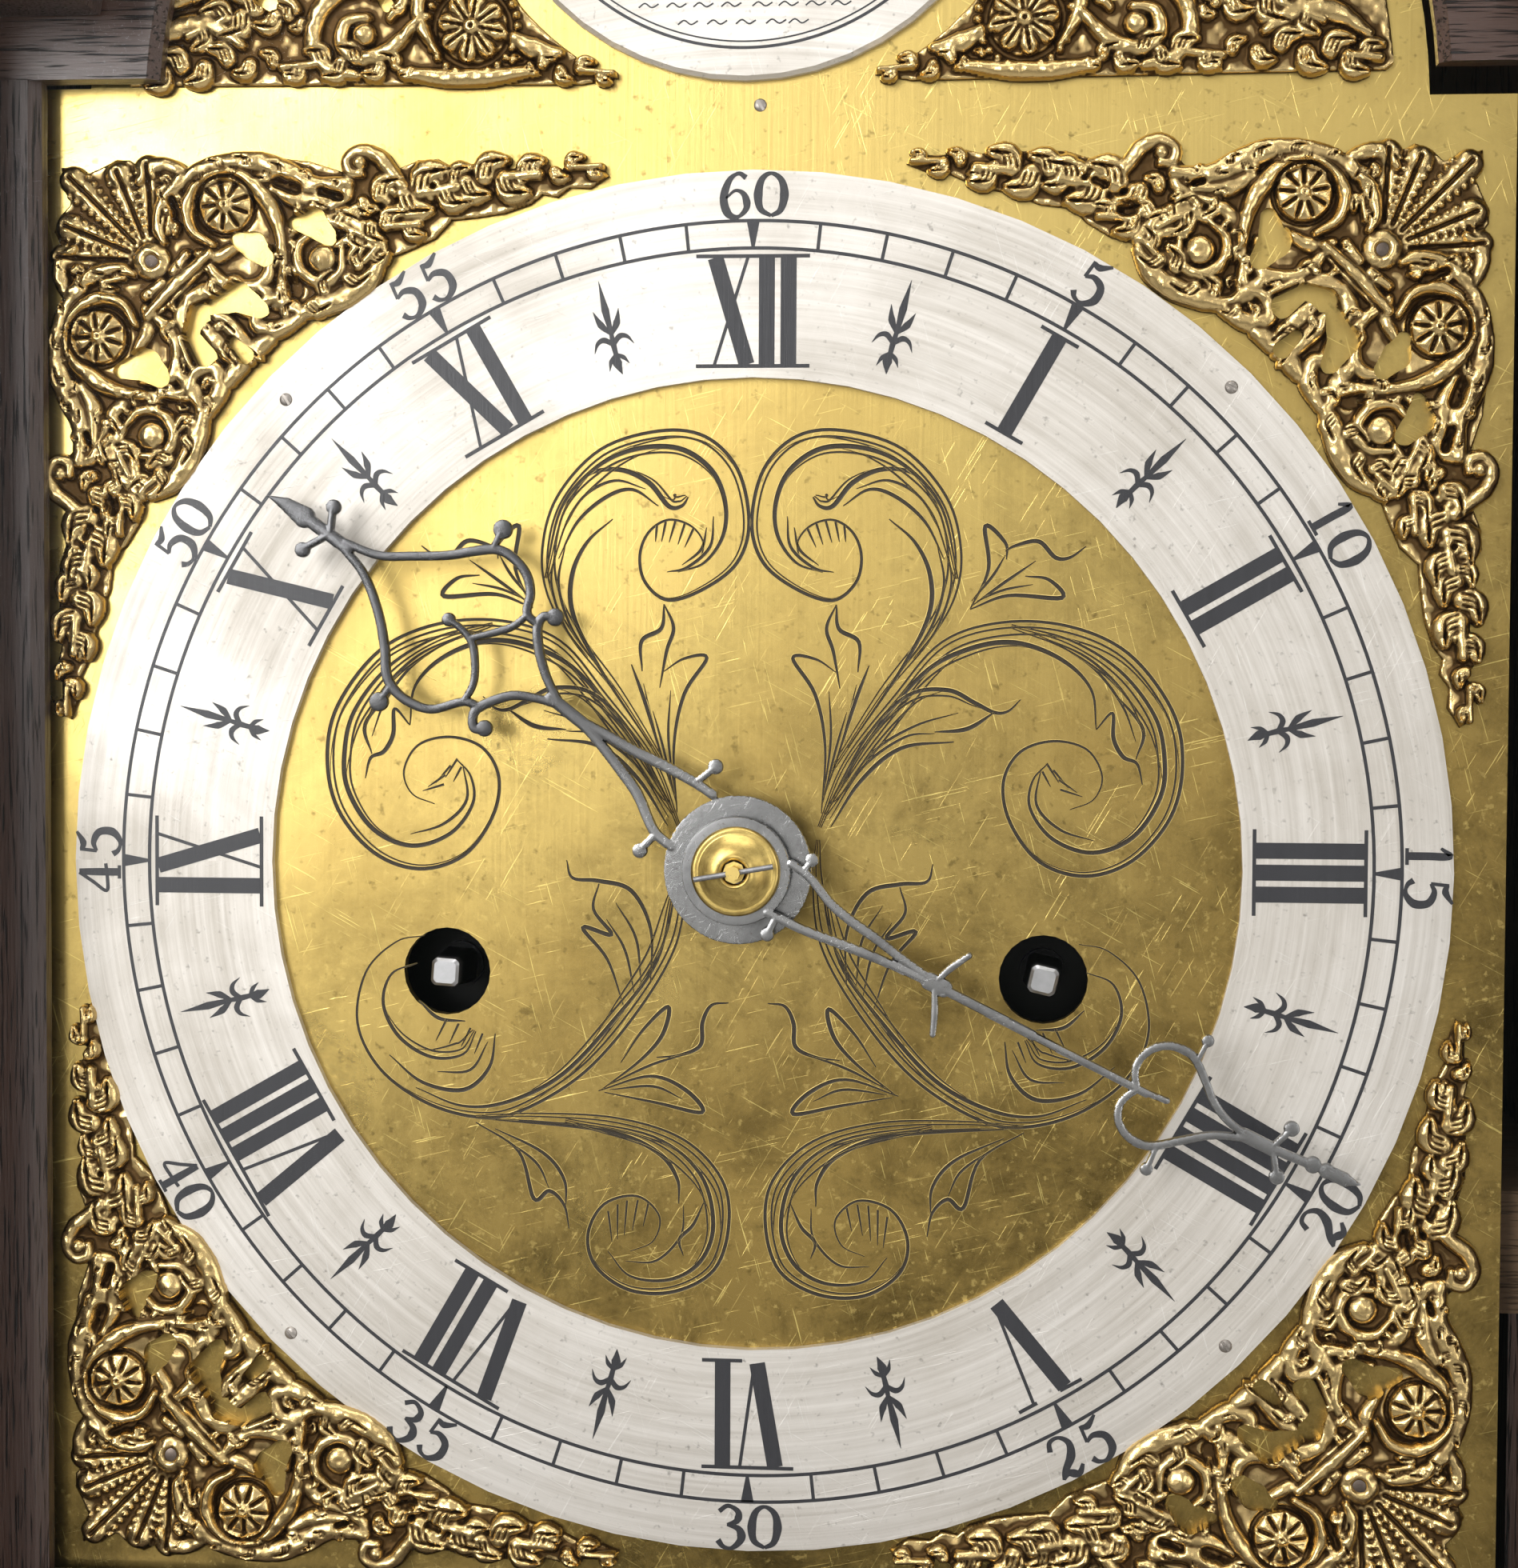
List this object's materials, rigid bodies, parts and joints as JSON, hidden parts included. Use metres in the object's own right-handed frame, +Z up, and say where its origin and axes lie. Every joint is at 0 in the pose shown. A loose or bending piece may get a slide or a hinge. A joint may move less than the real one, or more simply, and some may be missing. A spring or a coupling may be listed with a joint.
{
  "type": "grandmother clock",
  "caption": "Small oak longcase clock with an arched brass dial under a sliding hood, a panelled trunk door, a pendulum and a sprung movement that strikes on gong rods.",
  "frame": {"origin": "middle of the clock's footprint on the floor", "axes": "+X to the right seen from the front, +Y towards the wall behind, +Z up"},
  "size_m": [0.332, 0.22, 1.6445],
  "materials": {
    "oak": "waxed dark oak",
    "oak_inner": "unfinished oak",
    "dial_brass": "brushed, lacquered and patinated",
    "cast_brass": "cast, highlights polished and recesses dark",
    "silvered": "silvered brass with a fine circular grain",
    "roundel_silver": "silvered and engraved",
    "hand_steel": "grey cut steel",
    "steel": "plain turned steel",
    "movement_brass": "turned and lightly lacquered",
    "fitting_brass": "aged polished",
    "gong_steel": "blued rods in a dark block",
    "clear_glass": "clear"
  },
  "bodies": {
    "case": {"plinth_boards": "oak", "skirting": "oak", "trunk_mouldings": "oak", "trunk_sides": "oak", "trunk_front": "oak", "backboard": "oak_inner", "seat_board": "oak_inner", "trunk_hinge_leaves": "fitting_brass", "dial_plate": "dial_brass", "chapter_ring": "silvered", "roundel": "roundel_silver", "corner_spandrels": "cast_brass", "arch_spandrels": "cast_brass", "front_plate": "movement_brass", "back_plate": "movement_brass", "back_cock": "movement_brass", "gong": "gong_steel"},
    "hood": {"hood_base": "oak", "hood_sides": "oak", "hood_roof": "oak", "hood_front": "oak", "cornice": "oak", "mask_frame": "oak", "mask_head": "oak", "hood_hinge_leaves": "fitting_brass"},
    "hood_door": {"hood_door_frame": "oak", "hood_door_glass": "clear_glass", "hood_door_knob": "fitting_brass", "hood_door_hinges": "fitting_brass"},
    "trunk_door": {"trunk_door_frame": "oak", "trunk_door_panel": "oak", "trunk_door_hinges": "fitting_brass"},
    "trunk_catch": {"trunk_door_knob": "fitting_brass"},
    "centre_arbor": {"centre_wheel": "movement_brass", "cannon_pinion": "steel", "minute_hand": "hand_steel", "hand_collet": "fitting_brass", "taper_pin": "steel"},
    "hour_pipe": {"hour_wheel": "movement_brass", "hour_hand": "hand_steel"},
    "minute_work": {"minute_wheel": "movement_brass"},
    "second_arbor": {"second_wheel": "movement_brass"},
    "going_drum": {"going_barrel": "movement_brass"},
    "third_arbor": {"third_wheel": "movement_brass"},
    "escape_arbor": {"escape_wheel": "movement_brass"},
    "going_winder": {"going_winding_arbor": "steel"},
    "strike_winder": {"strike_winding_arbor": "steel"},
    "going_pawl": {"going_click": "steel"},
    "strike_pawl": {"strike_click": "steel"},
    "pallet_arbor": {"anchor": "steel"},
    "pendulum": {"pendulum_rod": "steel"},
    "bob": {"pendulum_bob": "fitting_brass"},
    "nut": {"rating_nut": "fitting_brass"},
    "pin_wheel_arbor": {"pin_wheel": "movement_brass"},
    "gathering_arbor": {"gathering_wheel": "movement_brass"},
    "warning_arbor": {"warning_wheel": "movement_brass"},
    "fly_arbor": {"fly": "movement_brass"},
    "strike_drum": {"strike_barrel": "movement_brass"},
    "hammer_arbor": {"hammer": "steel"}
  },
  "joints": [
    {"name": "hood_slide", "type": "slide", "parent": "case", "child": "hood", "axis": [0, -1, 0], "range_m": [0, 0.25]},
    {"name": "hood_door_hinge", "type": "hinge", "parent": "hood", "child": "hood_door", "pos_m": [0.1524, -0.0738, 1.375], "axis": [0, 0, 1], "range_deg": [0, 100]},
    {"name": "trunk_door_hinge", "type": "hinge", "parent": "case", "child": "trunk_door", "pos_m": [0.0775, -0.0704, 0.781], "axis": [0, 0, 1], "range_deg": [0, 100]},
    {"name": "trunk_catch_turn", "type": "hinge", "parent": "trunk_door", "child": "trunk_catch", "pos_m": [-0.06, -0.068, 0.781], "axis": [0, 1, 0], "range_deg": [0, 90]},
    {"name": "centre_turn", "type": "hinge", "parent": "case", "child": "centre_arbor", "pos_m": [-0.0062, -0.0305, 1.375], "axis": [0, 1, 0], "continuous": true},
    {"name": "minute_work_turn", "type": "hinge", "parent": "case", "child": "minute_work", "pos_m": [-0.0062, -0.058, 1.4038], "axis": [0, 1, 0], "continuous": true},
    {"name": "hour_turn", "type": "hinge", "parent": "case", "child": "hour_pipe", "pos_m": [-0.0062, -0.061, 1.375], "axis": [0, 1, 0], "continuous": true},
    {"name": "second_turn", "type": "hinge", "parent": "case", "child": "second_arbor", "pos_m": [0.01272, -0.0305, 1.37674], "axis": [0, 1, 0], "continuous": true},
    {"name": "going_drum_turn", "type": "hinge", "parent": "case", "child": "going_drum", "pos_m": [0.03765, -0.0305, 1.359], "axis": [0, 1, 0], "continuous": true},
    {"name": "third_turn", "type": "hinge", "parent": "case", "child": "third_arbor", "pos_m": [0.00064, -0.0305, 1.39181], "axis": [0, 1, 0], "continuous": true},
    {"name": "escape_turn", "type": "hinge", "parent": "case", "child": "escape_arbor", "pos_m": [-0.0062, -0.0305, 1.40649], "axis": [0, 1, 0], "continuous": true},
    {"name": "going_winding", "type": "hinge", "parent": "case", "child": "going_winder", "pos_m": [0.03765, -0.061, 1.359], "axis": [0, 1, 0], "continuous": true},
    {"name": "strike_winding", "type": "hinge", "parent": "case", "child": "strike_winder", "pos_m": [-0.05005, -0.061, 1.359], "axis": [0, 1, 0], "continuous": true},
    {"name": "going_click_lift", "type": "hinge", "parent": "case", "child": "going_pawl", "pos_m": [0.04565, -0.054, 1.37286], "axis": [0, 1, 0], "range_deg": [0, 8], "stiffness_Nm_per_rad": 0.002, "springref_deg": -17.19},
    {"name": "strike_click_lift", "type": "hinge", "parent": "case", "child": "strike_pawl", "pos_m": [-0.05805, -0.054, 1.37286], "axis": [0, -1, 0], "range_deg": [0, 8], "stiffness_Nm_per_rad": 0.002, "springref_deg": -17.19},
    {"name": "pendulum_swing", "type": "hinge", "parent": "case", "child": "pendulum", "pos_m": [-0.0062, 0.0081, 1.427], "axis": [0, 1, 0], "range_deg": [-3, 3]},
    {"name": "pallet_rock", "type": "hinge", "parent": "case", "child": "pallet_arbor", "pos_m": [-0.0062, -0.0305, 1.427], "axis": [0, 1, 0], "range_deg": [-3, 3]},
    {"name": "bob_slide", "type": "slide", "parent": "pendulum", "child": "bob", "axis": [0, 0, 1], "range_m": [-0.00525, 0.00525]},
    {"name": "rating_nut_turn", "type": "hinge", "parent": "bob", "child": "nut", "pos_m": [-0.0062, 0.0081, 0.8165], "axis": [0, 0, 1], "range_deg": [-2700, 2700]},
    {"name": "gathering_turn", "type": "hinge", "parent": "case", "child": "gathering_arbor", "pos_m": [-0.03756, -0.0305, 1.40145], "axis": [0, 1, 0], "continuous": true},
    {"name": "pin_wheel_turn", "type": "hinge", "parent": "case", "child": "pin_wheel_arbor", "pos_m": [-0.03475, -0.0305, 1.3855], "axis": [0, 1, 0], "continuous": true},
    {"name": "strike_drum_turn", "type": "hinge", "parent": "case", "child": "strike_drum", "pos_m": [-0.05005, -0.0305, 1.359], "axis": [0, 1, 0], "continuous": true},
    {"name": "warning_turn", "type": "hinge", "parent": "case", "child": "warning_arbor", "pos_m": [-0.03081, -0.0305, 1.41315], "axis": [0, 1, 0], "continuous": true},
    {"name": "fly_turn", "type": "hinge", "parent": "case", "child": "fly_arbor", "pos_m": [-0.0412, -0.0305, 1.41915], "axis": [0, 1, 0], "continuous": true},
    {"name": "hammer_lift", "type": "hinge", "parent": "case", "child": "hammer_arbor", "pos_m": [-0.0672, -0.0305, 1.3324], "axis": [0, -1, 0], "range_deg": [0, 12]}
  ],
  "couplings": [
    {"joint": "minute_work_turn", "follows": "centre_turn", "ratio": -0.33333},
    {"joint": "hour_turn", "follows": "centre_turn", "ratio": 0.083333},
    {"joint": "second_turn", "follows": "centre_turn", "ratio": -0.25},
    {"joint": "going_drum_turn", "follows": "centre_turn", "ratio": 0.033333},
    {"joint": "third_turn", "follows": "centre_turn", "ratio": -10},
    {"joint": "escape_turn", "follows": "centre_turn", "ratio": 80},
    {"joint": "pallet_rock", "follows": "pendulum_swing", "ratio": 1},
    {"joint": "rating_nut_turn", "follows": "bob_slide", "rad_per_m": 8976},
    {"joint": "pin_wheel_turn", "follows": "gathering_turn", "ratio": -0.125},
    {"joint": "strike_drum_turn", "follows": "gathering_turn", "ratio": 0.016667},
    {"joint": "warning_turn", "follows": "gathering_turn", "ratio": -8},
    {"joint": "fly_turn", "follows": "gathering_turn", "ratio": 56}
  ]
}
